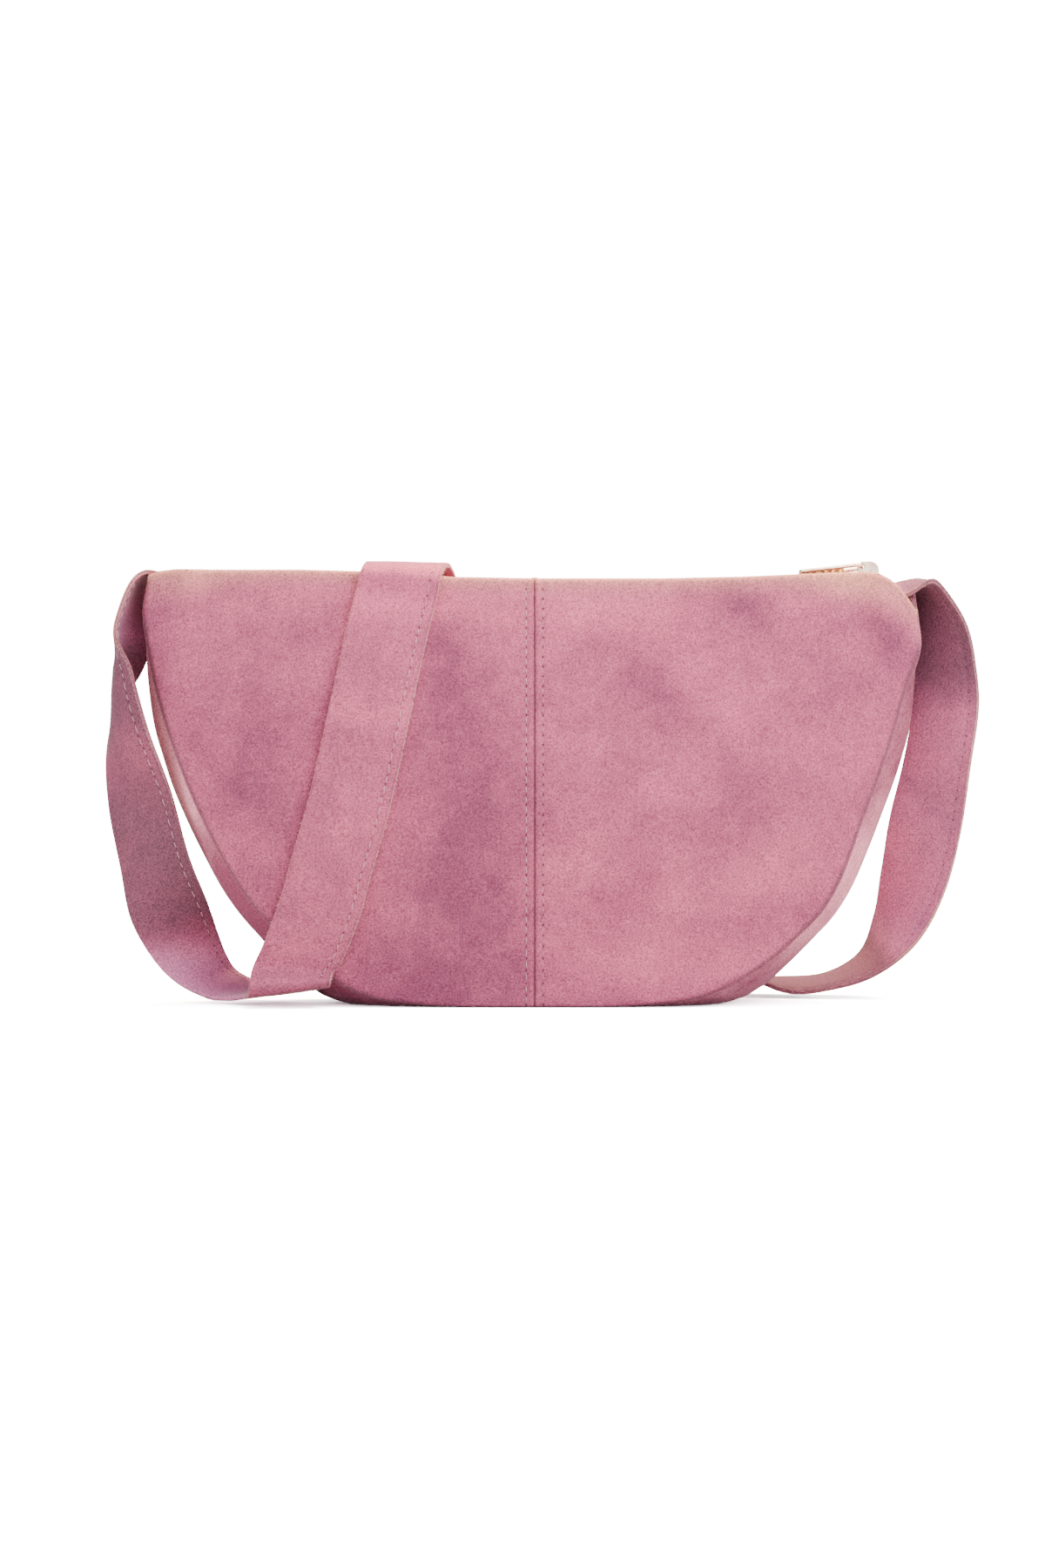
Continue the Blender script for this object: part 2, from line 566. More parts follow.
def ovals(rows, x, z):
    total = np.zeros(x.shape)
    for cx, cz, long, wide, turn, depth in rows:
        t = math.radians(turn)
        along = (x / mm - cx) * math.cos(t) + (z / mm - cz) * math.sin(t)
        off = -(x / mm - cx) * math.sin(t) + (z / mm - cz) * math.cos(t)
        total += depth * np.exp(-(along / long) ** 2 - (off / wide) ** 2)
    return total


def roll(distance, radius):  # how far a turned edge falls away near its fold
    short = np.clip(radius - distance, 0, radius)
    return radius - np.sqrt(radius ** 2 - short ** 2)


def panelSurface(x, z, front):  # the outer face, as a depth from the middle plane
    inside, middle = edgeDistance(x, z), np.abs(x)
    calm = smooth(inside / panel["calmEdge"]) * fall(z, bag["height"], panel["calmTop"])
    spots = np.stack([x, np.full(x.shape, front * panel["swellPlane"]), z], axis=-1)
    swelling = panel["swell"] * waves(spots, panel["swellSize"], 3 + (front > 0), 3)
    depth = panelDepth(x, z) - ovals(dents[front], x, z) * mm * calm + swelling * calm
    depth = depth - roll(inside, panel["seamRoll"]) - panel["centreFall"] * roll(middle, panel["centreRoll"])
    depth = depth - panel["stitchDip"] * hump(middle, panel["stitchReach"], panel["stitchDipWidth"])
    return depth + panel["ridge"] * hump(middle, *panel["ridgeAt"])


def panelHem(top, xs):  # rolls inward over the mouth and hangs down behind it, and opens towards the ends
    hem = []
    fade = ramp(xs, panel["hemEnd"] - panel["hemFade"], panel["hemFade"])
    full = math.pi * mix(1.0, panel["hemOpen"], fade)
    for k in range(1, panel["hemArc"] + 1):
        angle = full * k / panel["hemArc"]
        row = top.copy()
        row[:, 1] -= panel["hemRadius"] * (1 - np.cos(angle))
        row[:, 2] = bag["height"] - panel["hemHeight"] + panel["hemHeight"] * np.sin(angle)
        hem.append(row)
    turned = hem[-1]
    for k in range(1, panel["hemDrop"] + 1):
        row = turned.copy()
        row[:, 2] -= panel["hemDepth"] * k / panel["hemDrop"] * (1 - fade)
        hem.append(row)
    return hem


def panelMarks(points, side, front):
    x, z = points[..., 0], points[..., 2]
    middle = np.abs(x)
    turned = 1 + len(panel["seamTurn"])
    seamAmount, seamWidth = panel["seamCrease"]
    centreAmount, centreWidth = panel["centreCrease"]
    stitchAmount, stitchWidth = panel["stitchCrease"]
    crease = seamAmount * hump(edgeDistance(x, z), 0, seamWidth) * fall(z, *panel["creaseTop"])
    crease += (centreAmount * hump(middle, 0, centreWidth)
               + stitchAmount * hump(middle, panel["stitchReach"], stitchWidth))
    crease[:, :turned] = 1.0
    crease[-turned:] = 1.0
    rubbed = panel["rimRub"] * np.exp(-np.maximum(bag["height"] - z, 0) / panel["rubReach"])
    rubbed += ovals(cornerRub, side * x, z)
    return dict(crease=crease, brushed=ovals(brushing[front], side * x, z), rubbed=rubbed)


def buildPanel(side, front, sideName, frontName):
    near = np.array(panel["near"]) * mm
    slanted = outline[(outline[:, 0] > panel["slantStart"])
                      & (outline[:, 0] < bag["halfWidth"] - panel["endClear"])
                      & (outline[:, 1] < panel["slantTop"] * bag["height"])]
    xs = np.concatenate([near, slanted[:, 0], [bag["halfWidth"]]])
    lows = np.concatenate([edgeHeight(near), slanted[:, 1], [slanted[-1, 1] + panel["endRise"]]])
    shoulder = bag["height"] - panel["hemHeight"]
    share = np.linspace(0, 1, panel["rows"] + 1) ** panel["crowding"]
    x = np.repeat(xs[:, None], len(share), axis=1)
    z = lows[:, None] + (shoulder - lows)[:, None] * share[None, :]
    depth = panelSurface(side * x, z, front)
    outX, outZ = (np.interp(lows, outline[:, 1], outlineOut[:, k]) for k in range(2))
    # The rolled edge laps a little over the gusset, less where the bag stands
    lap = panel["lap"] * hump(edgeDistance(x, z), *panel["lapAt"]) * ramp(z, *panel["lapStart"])
    face = np.stack([x + lap * outX[:, None], depth, z + lap * outZ[:, None]], axis=-1)
    skirt = turnOver(face[:, 0], [panel["allowance"], *panel["seamTurn"]], outX, outZ)
    points = np.stack([*skirt, *face.swapaxes(0, 1), *panelHem(face[:, -1], xs)], axis=1)
    # The turned edge at the centre seam, and the allowance down the upright end
    tucked = points[:1] - np.array([0, panel["centreTuck"], 0])
    points = np.concatenate([tucked, points, *turnOver(points[-1:], [*panel["endTurn"], panel["allowance"]])])
    marks = panelMarks(points, side, front)
    points = settle(points * np.array([side, front, 1]))
    title = frontName + "_panel_" + sideName
    made = addSkin(title + "_skin", points, bag["leather"], suede["panel suede"],
                   lambda centres: np.array([0, front, 0]), title, marks)
    top = len(skirt) + len(share) - 1
    rim = points[1 + len(near):-len(skirt), top:top + fuzz["rimRows"]]
    growFuzz("rim_fibres_" + frontName + "_" + sideName, rim,
             np.tile([0, front * fuzz["lean"], 1.0], (len(rim), 1)), fuzz["rim"])


for side, sideName in bothSides:
    for front, frontName in bothFaces:
        buildPanel(side, front, sideName, frontName)
print("panels made")


# Gusset: one band round the half moon, bulging between its two seams

gusset = dict(rows=44, steps=260, inset=0.0, edge=2.9 * mm, roll=3.0 * mm, allowance=4 * mm, tuck=1.2 * mm,
              top=202.3 * mm, crownShare=0.53, fade=(0.62, 0.98), swell=0.5 * mm, swellSize=70 * mm,
              stretch=(0.5, 3), calmEdge=8 * mm, calmFoot=(12 * mm, 30 * mm), flatWidth=66 * mm,
              creaseHalf=30 * mm, creaseWidth=1.2 * mm, crease=1.2,
              # the nap's tone at the foot, and the soft steps above it: amount, start, length
              leftNap=(-1.1, [(2.1, 64 * mm, 42 * mm)]),
              rightNap=(-0.6, [(1.4, 20 * mm, 18 * mm), (-1.5, 60 * mm, 60 * mm)]))


def bandCrown(x, z):
    rise = mix(bag["baseCrown"], bag["sideCrown"], smooth(x / bag["halfWidth"] / gusset["crownShare"]))
    low, high = gusset["fade"]
    return mix(rise, bag["endCrown"], ramp(z / bag["height"], low, high - low))


def fromMiddle(centres):
    return centres - np.array(bag["middle"])


def bandShares(band):  # places across the band from seam to seam, closer near the seams
    return np.sin(np.linspace(-1, 1, band["rows"] + 1) * math.pi / 2)


def buildBand(band):
    reach = 1 - (bag["height"] - gusset["top"]) / outlineLength
    along = np.linspace(-reach, reach, 2 * band["steps"] + 1)[:, None]
    place = np.abs(along) * (len(outline) - 1)
    index = np.arange(len(outline))
    wx, wz = (np.interp(place, index, outline[:, k]) for k in range(2))
    nx, nz = (np.interp(place, index, outlineOut[:, k]) for k in range(2))
    across = bandShares(band)[None, :]
    half = sideDepth(wz) - band["edge"]
    side = np.where(along < 0, -1, 1)
    y = across * half
    bulge = bandCrown(wx, wz) * (1 - across ** 2) - band["inset"]
    if "roll" in band:
        fromSeam = (1 - np.abs(across)) * half
        bulge = bulge - roll(fromSeam, band["roll"])
        spots = np.stack([along * band["stretch"][0] + 0 * y, y * band["stretch"][1], 0 * y], axis=-1)
        calm = smooth(fromSeam / band["calmEdge"]) * ramp(wz, *band["calmFoot"])
        bulge = bulge + band["swell"] * waves(spots, band["swellSize"], 9, 2) * calm
    points = np.stack([side * (wx + nx * bulge), y, np.maximum(wz + nz * bulge, band["inset"])], axis=-1)
    if "allowance" in band:
        out = ((side * nx)[:, 0], nz[:, 0])
        edges = [turnOver(points[:, column], [(band["allowance"], way * band["tuck"])], *out)[0][:, None]
                 for column, way in ((0, -1), (-1, 1))]
        points = np.concatenate([edges[0], points, edges[1]], axis=1)
    return settle(points)


def napTone(tone, steps, height):
    for amount, start, length in steps:
        tone = tone + amount * ramp(height, start, length)
    return tone


def buildGusset():
    points = buildBand(gusset)
    fromSeam = (1 - np.abs(bandShares(gusset))) * gusset["creaseHalf"]
    crease = np.concatenate([[1.0], gusset["crease"] * hump(fromSeam, 0, gusset["creaseWidth"]), [1.0]])
    height = points[..., 2]
    leftNap, rightNap = (napTone(*gusset[key], height) for key in ("leftNap", "rightNap"))
    marks = dict(crease=np.repeat(crease[None, :], len(points), axis=0),
                 brushed=np.where(points[..., 0] < 0, leftNap, rightNap))
    made = addSkin("gusset_skin", points, bag["leather"], suede["gusset suede"],
                   fromMiddle, "gusset", marks)


buildGusset()
print("gusset made")


# Lining: two faces and a band of cloth inside the bag

lining = dict(inset=2.1 * mm, edge=2.9 * mm, clearance=0.3 * mm, thickness=0.5 * mm, top=200.1 * mm,
              foot=191.9 * mm, blend=26 * mm, fold=3.8 * mm, ease=60 * mm, reach=0.7, rows=48,
              ripple=0.25 * mm, rippleSize=30 * mm, rippleStart=15 * mm,
              flat=(326 * mm, 200 * mm), area=0.051)
liningBand = dict(inset=2.4 * mm, edge=4.6 * mm, rows=16, steps=120, flatWidth=60 * mm)


def buildLining(front, frontName):
    last = int(len(outline) * lining["reach"])
    xs, lows = np.concatenate([outline[1:last][::-1] * np.array([-1, 1]), outline[:last]]).T
    xs = xs - np.sign(xs) * lining["edge"] * smooth(np.abs(xs) / lining["ease"])
    lows = lows + lining["edge"] + lining["clearance"]
    share = np.linspace(0, 1, lining["rows"] + 1)
    z = lows[:, None] + (lining["top"] - lows)[:, None] * share[None, :]
    x = np.repeat(xs[:, None], len(share), axis=1)
    y = panelDepth(x, z) - lining["inset"]
    folded = topDepth(x) - lining["fold"] - lining["clearance"]
    y = np.minimum(y, mix(y, folded, ramp(z, lining["foot"] - lining["blend"], lining["blend"])))
    swelling = 1 + waves(np.stack([x, 0 * x, z], axis=-1), lining["rippleSize"], 21, 2)
    y = y - lining["ripple"] * swelling * ramp(z, lows[:, None], lining["rippleStart"])
    made = addSkin("lining_" + frontName + "_cloth", settle(np.stack([x, front * y, z], axis=-1)),
                   lining["thickness"], liningCloth, lambda centres: np.array([0, front, 0]),
                   "lining_" + frontName)


for front, frontName in bothFaces:
    buildLining(front, frontName)
bandLining = addSkin("lining_gusset_cloth", buildBand(liningBand), lining["thickness"], liningCloth,
                     fromMiddle, "lining_gusset")
print("lining made")


# Strap: a doubled band, folded along one edge and stitched along its raw one

strap = dict(halfWidth=19 * mm, half=1.5 * mm, seatZ=204.1 * mm, endReach=170 * mm, ride=1.6 * mm,
             steps=560, step=2.0 * mm, flatSteps=26, foldSteps=5, foldRadius=1.35 * mm, edgeLip=0.25 * mm,
             stitchIn=4.5 * mm, stitchDip=0.32 * mm, stitchDipWidth=1.1 * mm, pitch=5.3 * mm,
             stitchEnds=(11, 14), drawnFrom=0.66, drawnOver=20, needleHole=0.62 * mm,
             pressed=0.32 * mm, pressedShare=(0.5, 0.9), swell=0.35 * mm, swellSize=55 * mm,
             swellAcross=1.6, calmEnd=(10 * mm, 20 * mm), frontBefore=-25 * mm,
             # the raw edge across its thickness, in millimetres
             rawEdge=[(18.95, 0.95), (19.05, 0.6), (18.98, 0.2), (18.65, 0.0), (18.98, -0.2), (19.05, -0.6),
                      (18.95, -0.95)],
             # the right end sinks with the drooping corner, most at its front edge
             droop=(4.5 * mm, 11 * mm), droopFrom=(158 * mm, 13 * mm), droopTo=(177 * mm, 15 * mm),
             droopAcross=(3 * mm, 16 * mm), droopAbove=(170 * mm, 25 * mm),
             # soft cross bends on the front run: height, depth, spread
             bends=[(158 * mm, -0.7 * mm, 14 * mm), (131 * mm, 1.5 * mm, 9 * mm),
                    (112 * mm, -0.4 * mm, 9 * mm)])

# Its route from the left end to the right one. Free rows hold x, y and z as shares of the bag's half
# width, half base and height, turn and tilt in degrees, and the dish as a share of the strap's width.
# Rows that ride on a face hold x, z and tilt.
leftLoop = [
    (-0.985, 0.0, 1.003, -90, 0, 0.0), (-1.022, -0.01, 1.008, -92, 0, 0.0),
    (-1.052, -0.12, 0.985, -93, 0, 0.02), (-1.066, -0.2, 0.925, -101, 0, 0.05),
    (-1.066, -0.26, 0.855, -109, 2, 0.12), (-1.06, -0.28, 0.785, -92, 3, 0.24),
    (-1.074, -0.3, 0.715, -72, 4, 0.19), (-1.075, -0.3, 0.61, -51, 5, 0.11),
    (-1.047, -0.26, 0.475, -31, 8, 0.03), (-1.003, -0.12, 0.3, -20, 9, 0.0),
    (-0.958, 0.13, 0.17, 20, 8, 0.0), (-0.902, 0.27, 0.078, 45, 8, 0.0), (-0.832, 0.24, 0.036, 64, 11, 0.0),
    (-0.76, 0.06, 0.023, 55, 6, 0.0), (-0.69, -0.34, 0.026, 30, 5, 0.0), (-0.65, -0.84, 0.036, 8, 7, 0.0),
    (-0.637, -1.27, 0.049, 0, 5, 0.0)]
frontRun = [
    (-0.631, 0.085, -3), (-0.603, 0.13, -11), (-0.559, 0.23, -16), (-0.527, 0.33, -16), (-0.488, 0.45, -14),
    (-0.454, 0.58, -12.5), (-0.426, 0.7, -11.5), (-0.403, 0.8, -11.5), (-0.381, 0.89, -12),
    (-0.364, 0.95, -12)]
topArch = [
    (-0.352, -0.72, 1.0, 0, -6, 0.0), (-0.343, -0.42, 1.024, 0, -3, 0.0), (-0.337, 0.0, 1.031, 0, 0, 0.0),
    (-0.329, 0.44, 1.024, 0, 3, 0.0), (-0.315, 0.8, 0.99, 0, 7, 0.0)]
backRun = [
    (-0.297, 0.9, 12), (-0.262, 0.78, 13), (-0.22, 0.65, 15), (-0.165, 0.52, 20), (-0.09, 0.4, 28)]
rightLoop = [
    (0.02, 1.44, 0.27, -14, 42, 0.0), (0.17, 1.6, 0.18, -38, 50, 0.0), (0.35, 1.66, 0.112, -70, 38, 0.0),
    (0.53, 1.58, 0.058, -86, 15, 0.0), (0.68, 1.38, 0.028, -90, -6, 0.0), (0.81, 1.24, 0.038, -90, -7, 0.0),
    (0.915, 1.1, 0.083, -85, -14, 0.0), (0.985, 0.88, 0.17, -62, -19, 0.0),
    (1.025, 0.6, 0.285, -41, -15, 0.0), (1.052, 0.35, 0.42, -32, -8, 0.0),
    (1.076, 0.14, 0.555, -40, -3, 0.0), (1.098, 0.05, 0.69, -42.5, 1, 0.0),
    (1.096, 0.02, 0.79, -49, 3, 0.0), (1.086, 0.0, 0.87, -57, 4, 0.0), (1.065, 0.0, 0.935, -69, 3, 0.0),
    (1.037, 0.0, 0.99, -82, 1, 0.0), (1.0, 0.0, 1.01, -90, 0, 0.0)]


def freeRow(row):
    x, y, z, turn, tilt, dish = row
    return (x * bag["halfWidth"], y * bag["baseHalf"], z * bag["height"], turn, tilt, dish)


def ridingRow(row, front):
    x, z, tilt = row[0] * bag["halfWidth"], row[1] * bag["height"], row[2]
    reach = np.linspace(-1, 1, 5) * strap["halfWidth"]  # it rides on the highest of five places across
    t = math.radians(tilt)
    deepest = panelDepth(x + reach * math.cos(t), z + reach * math.sin(t)).max()
    return (x, front * (deepest + strap["ride"] + strap["half"]), z, 0, tilt, 0.0)


def sewnEnd(side):
    return (side * strap["endReach"], 0, strap["seatZ"], -90, 0, 0)


strapRoute = [sewnEnd(-1), *map(freeRow, leftLoop), *(ridingRow(row, -1) for row in frontRun),
              *map(freeRow, topArch), *(ridingRow(row, 1) for row in backRun), *map(freeRow, rightLoop),
              sewnEnd(1)]
strapRows, strapLength = evenCurve(strapRoute, strap["steps"], 3)
strapSpots = strapRows[:, :3]
turn, tilt = np.radians(strapRows[:, 3:5]).T
strapAcross = np.stack([np.cos(tilt) * np.cos(turn), np.cos(tilt) * np.sin(turn), np.sin(tilt)], axis=1)
strapAhead = unit(np.gradient(strapSpots, axis=0))
strapFace = unit(np.cross(strapAhead, strapAcross))
strapDish = strapRows[:, 5] * 2 * strap["halfWidth"]


def strapPoint(i, w, t):  # arrays: place along, place across, height off the middle layer
    share = w / strap["halfWidth"]
    lift = strapDish[i] * (1 - share ** 2) + t
    spot = strapSpots[i] + strapAcross[i] * w[..., None] + strapFace[i] * lift[..., None]
    x, z = spot[..., 0], spot[..., 2]
    end = ramp(x, *strap["droopFrom"]) * (1 - ramp(x, *strap["droopTo"]))
    sink = mix(*strap["droop"], ramp(w, *strap["droopAcross"]))
    spot[..., 2] -= sink * end * ramp(z, *strap["droopAbove"])
    return spot


def strapThick(w):
    share = w / strap["halfWidth"]
    near = np.abs(w - (strap["halfWidth"] - strap["stitchIn"]))
    base, more = strap["pressedShare"]
    flat = strap["half"] - strap["pressed"] * (base + share ** 4 * more)
    return flat - strap["stitchDip"] * hump(near, 0, strap["stitchDipWidth"])


def strapRipple(i, w):  # how far the band swells off its route, shared by its skin and its stitches
    fromStart = i * strap["step"]
    fromEnd = (len(strapRows) - i) * strap["step"]
    spots = np.stack([fromStart, w * strap["swellAcross"], 0 * w], axis=-1)
    middle = ramp(fromStart, *strap["calmEnd"]) * ramp(fromEnd, *strap["calmEnd"])
    ripple = strap["swell"] * waves(spots, strap["swellSize"], 31, 2) * middle
    onFront = strapSpots[i, 1] < strap["frontBefore"]
    for height, depth, spread in strap["bends"]:
        ripple = ripple - depth * hump(strapSpots[i, 2], height, spread) * onFront
    return ripple


def strapProfile():  # its section as (place across, height), and where its raw edge lies in it
    r, half = strap["foldRadius"], strap["halfWidth"]
    flat = np.linspace(-half + r, half - strap["edgeLip"], strap["flatSteps"])
    top = np.stack([flat, strapThick(flat)], axis=1)
    edge = np.array(strap["rawEdge"]) * mm
    angles = np.linspace(-math.pi / 2, -3 * math.pi / 2, strap["foldSteps"] + 2)[1:-1]
    fold = np.stack([-half + r + r * np.cos(angles), r * np.sin(angles)], axis=1)
    raw = slice(len(top) - 1, len(top) + len(edge))
    return np.concatenate([top, edge, top[::-1] * np.array([1, -1]), fold]), raw


# Where the strap's nap is dark, light, creased and rubbed: amounts, and (place, length) or (place, spread)
strapNap = dict(
    base=0.15, leftOf=-116 * mm, behind=(-30 * mm, 6 * mm), before=(-15 * mm, 8 * mm), rightOf=100 * mm,
    leftDark=0.95, leftFoot=(18 * mm, 30 * mm), leftTop=(166 * mm, 12 * mm), leftTopLess=0.6,
    leftPatch=(118 * mm, 18 * mm), leftPatchLess=0.45,
    rightDark=0.95, rightFold=(170 * mm, 8 * mm), rightAbove=(134 * mm, 30 * mm),
    underDark=1.3, underFrom=(60 * mm, 40 * mm), underBelow=(30 * mm, 12 * mm),
    archLight=0.5, archAt=(193 * mm, 9 * mm), footDark=0.4, footDarkBelow=(30 * mm, 20 * mm),
    loopLight=0.3, loopLightAt=(36 * mm, 16 * mm), loopDark=0.35, loopDarkAt=(92 * mm, 16 * mm),
    footLight=0.6, footLightBelow=(40 * mm, 22 * mm),
    stitchCrease=(0.25, 0.7 * mm), edgeCrease=(0.7, 18.65 * mm, 0.2 * mm), foldCrease=(0.8, 0.75, 0.6),
    footRub=0.4, footRubBelow=(36 * mm, 20 * mm), topRub=0.25, topRubAbove=(160 * mm, 12 * mm),
    rightRub=(0.14, 0.12), rightRubAt=(34 * mm, 20 * mm), rightRubFrom=(100 * mm, 30 * mm), underRubLess=0.9)


def strapMarks(w):
    nap = strapNap
    across, depth, height = strapSpots.T
    left = (across < nap["leftOf"]) * ramp(depth, *nap["behind"])
    # Dark down the left loop, in the fold of the right one and under it
    leftDark = nap["leftDark"] * left * ramp(height, *nap["leftFoot"])
    leftDark = leftDark * (1 - nap["leftTopLess"] * ramp(height, *nap["leftTop"]))
    leftDark = leftDark * (1 - nap["leftPatchLess"] * hump(height, *nap["leftPatch"]))
    rightDark = ramp(across, *nap["rightFold"]) * ramp(height, *nap["rightAbove"])
    underDark = ramp(across, *nap["underFrom"]) * fall(height, *nap["underBelow"])
    front = (nap["archLight"] * hump(height, *nap["archAt"])
             - nap["footDark"] * fall(height, *nap["footDarkBelow"])) * fall(depth, *nap["before"])
    loop = (nap["loopLight"] * hump(height, *nap["loopLightAt"])
            - nap["loopDark"] * hump(height, *nap["loopDarkAt"]))
    foot = nap["footLight"] * left * fall(height, *nap["footLightBelow"])
    brushed = nap["base"] + front + loop * (across > nap["rightOf"]) - nap["rightDark"] * rightDark
    brushed = brushed + foot - leftDark - nap["underDark"] * underDark
    stitchAmount, stitchWidth = nap["stitchCrease"]
    edgeAmount, edgePlace, edgeWidth = nap["edgeCrease"]
    crease = (stitchAmount * hump(w, strap["halfWidth"] - strap["stitchIn"], stitchWidth)
              + edgeAmount * hump(w, edgePlace, edgeWidth))
    inLeft, inRight, inUnder = nap["foldCrease"]
    crease = crease + (inLeft * leftDark + inRight * rightDark + inUnder * underDark)[:, None]
    # Rubbed paler at the two turns of the left loop and along the right one
    rubbed = (nap["footRub"] * left * fall(height, *nap["footRubBelow"])
              + nap["topRub"] * left * ramp(height, *nap["topRubAbove"]))
    base, more = nap["rightRub"]
    rubbed = rubbed + (base + more * hump(height, *nap["rightRubAt"])) * ramp(across, *nap["rightRubFrom"])
    rubbed = rubbed * (1 - nap["underRubLess"] * underDark)
    return dict(crease=crease, brushed=np.repeat(brushed[:, None], w.shape[1], axis=1),
                rubbed=np.repeat(rubbed[:, None], w.shape[1], axis=1))


def buildStrap():
    profile, raw = strapProfile()
    steps, sides = len(strapRows), len(profile)
    i = np.repeat(np.arange(steps)[:, None], sides, axis=1)
    w, t = (np.repeat(profile[None, :, k], steps, axis=0) for k in range(2))
    points = strapPoint(i, w, t + strapRipple(i, w))
    flat = points.reshape(-1, 3)
    faces = gridFaces(steps, sides, closed=True)
    a, b, c = (flat[faces[:, k]] for k in range(3))
    volume = (a * np.cross(b, c)).sum()
    edges = np.zeros(sides, int)
    edges[raw] = 1
    faceLooks = np.tile(edges, steps - 1).tolist() + [1, 1]
    faces = faces.tolist() + [list(range(sides))[::-1], list(range(len(flat) - sides, len(flat)))]
    if volume < 0:
        faces = [face[::-1] for face in faces]
    made = addMesh("strap_skin", points, faces, [suede["strap suede"], suede["cut edge"]],
                   "strap", faceLooks, marks=strapMarks(w))
    growFuzz("strap_raw_edge_fibres", points[:, raw], strapAcross, fuzz["rawEdge"])
    growFuzz("strap_fold_fibres", points[:, -strap["foldSteps"]:], -strapAcross, fuzz["fold"])


buildStrap()
print("strap made", round(strapLength, 4))


# Stitches: rows of short threads that dip into their needle holes

stitch = dict(radius=0.26 * mm, share=0.7, proud=0.2 * mm, sink=0.3 * mm, rings=7, sides=6, arch=0.6,
              endWidth=0.45, slant=0.5 * mm, drawnFlat=1.6, drawnThin=0.5,
              domeSides=8, domeLong=1.15, domeSunk=0.05 * mm, domeProud=0.16 * mm,
              firstZ=6 * mm, lastZ=203 * mm, pitch=4.7 * mm, apart={-1: 0.1 * mm, 1: 0.2 * mm},
              besideX=0.4 * mm, besideZ=1 * mm)


def around(count, along, across):  # count ways round a circle
    angles = [2 * math.pi * k / count for k in range(count)]
    return [along * math.cos(angle) + across * math.sin(angle) for angle in angles]


def sewRow(name, holes, ups, drawn, hole):  # drawn: how far each stitch is pulled in
    ahead = holes[1:] - holes[:-1]
    up = unit(ups[:-1] + ups[1:])
    side = unit(np.cross(up, ahead))
    gap = (1 - stitch["share"]) / 2
    run = np.linspace(gap, 1 - gap, stitch["rings"])
    arch = np.sin(np.linspace(0, math.pi, stitch["rings"])) ** stitch["arch"]
    drawn = np.broadcast_to(drawn, len(holes))[:-1, None]
    points = []
    for place, height in zip(run, arch):
        lift = mix(-stitch["sink"], stitch["proud"] * (1 - stitch["drawnFlat"] * drawn), height)
        width = stitch["radius"] * mix(stitch["endWidth"], 1.0 - stitch["drawnThin"] * drawn, height)
        centre = holes[:-1] + ahead * place + up * lift + side * (place - 0.5) * stitch["slant"]
        points += [centre + way * width for way in around(stitch["sides"], side, up)]
    points = np.stack(points, axis=1)
    count, each = points.shape[:2]
    one = gridFaces(stitch["rings"], stitch["sides"], closed=True)
    faces = (one[None] + (np.arange(count) * each)[:, None, None]).reshape(-1, 4).tolist()
    # Needle holes: small dark domes let into the nap
    along = unit(np.gradient(holes, axis=0))
    sides = stitch["domeSides"]
    rim = [holes + way * hole - ups * stitch["domeSunk"]
           for way in around(sides, along * stitch["domeLong"], unit(np.cross(ups, along)))]
    domes = np.stack([*rim, holes + ups * stitch["domeProud"]], axis=1)
    starts = [count * each + k * (sides + 1) for k in range(len(holes))]
    domeFaces = [[start + k, start + (k + 1) % sides, start + sides]
                 for start in starts for k in range(sides)]
    everything = np.concatenate([points.reshape(-1, 3), domes.reshape(-1, 3)])
    addMesh(name, everything, faces + domeFaces, [thread, needleHole],
            faceLooks=[0] * len(faces) + [1] * len(domeFaces))


def facePoint(x, z, front):
    depth = panelSurface(x, np.minimum(z, bag["height"] - panel["hemHeight"]), front)
    return settle(np.stack([x, front * depth, z], axis=-1))


def sewPanels():
    z = np.arange(stitch["firstZ"], stitch["lastZ"], stitch["pitch"])
    dx, dz = stitch["besideX"], stitch["besideZ"]
    for front, frontName in bothFaces:
        for side, sideName in bothSides:
            x = np.full(z.shape, side * (panel["stitchReach"] + stitch["apart"][side]))
            up = unit(np.cross(facePoint(x + dx, z, front) - facePoint(x - dx, z, front),
                               facePoint(x, z + dz, front) - facePoint(x, z - dz, front)))
            up *= np.sign(up[:, 1:2] * front)
            sewRow("centre_stitches_" + frontName + "_" + sideName, facePoint(x, z, front), up,
                   panel["drawnIn"][side], panel["needleHole"])


def sewStrap():
    first, last = strap["stitchEnds"]
    place = np.linspace(first, len(strapRows) - last, int(strapLength / strap["pitch"]))
    i = place.astype(int)
    w = np.full(i.shape, strap["halfWidth"] - strap["stitchIn"])
    drawn = ramp(place, strap["drawnFrom"] * len(strapRows), strap["drawnOver"])
    for face, faceName in ((1, "upper"), (-1, "lower")):
        holes = strapPoint(i, w, face * strapThick(w) + strapRipple(i, w))
        sewRow("strap_stitches_" + faceName, holes, strapFace[i] * face, drawn, strap["needleHole"])


sewPanels()
sewStrap()
print("stitches made")


# Zip: woven tape, corded teeth, stops, slider and pull

zipParts = dict(z=202 * mm, tapeHalf=176 * mm, tapeInner=3.35 * mm, tapeOuter=13.9 * mm, tape=0.6 * mm,
                tapeSteps=176, tapeRows=8, tapeFlat=10.6 * mm, tapeSwell=0.12 * mm, swellSize=40 * mm,
                cornerFrom=(150 * mm, 14 * mm), cornerGap=2.7 * mm,
                chainStart=-166 * mm, pitch=4 * mm, teeth=83, tip=0.3 * mm, bead=3.05 * mm,
                toothWidth=2.7 * mm, toothSunk=0.2 * mm, toothBevel=0.35 * mm, thick=2.2 * mm,
                cordHalf=(0.55 * mm, 0.8 * mm), cordSteps=84, cordSides=8, stopBevel=0.4 * mm)


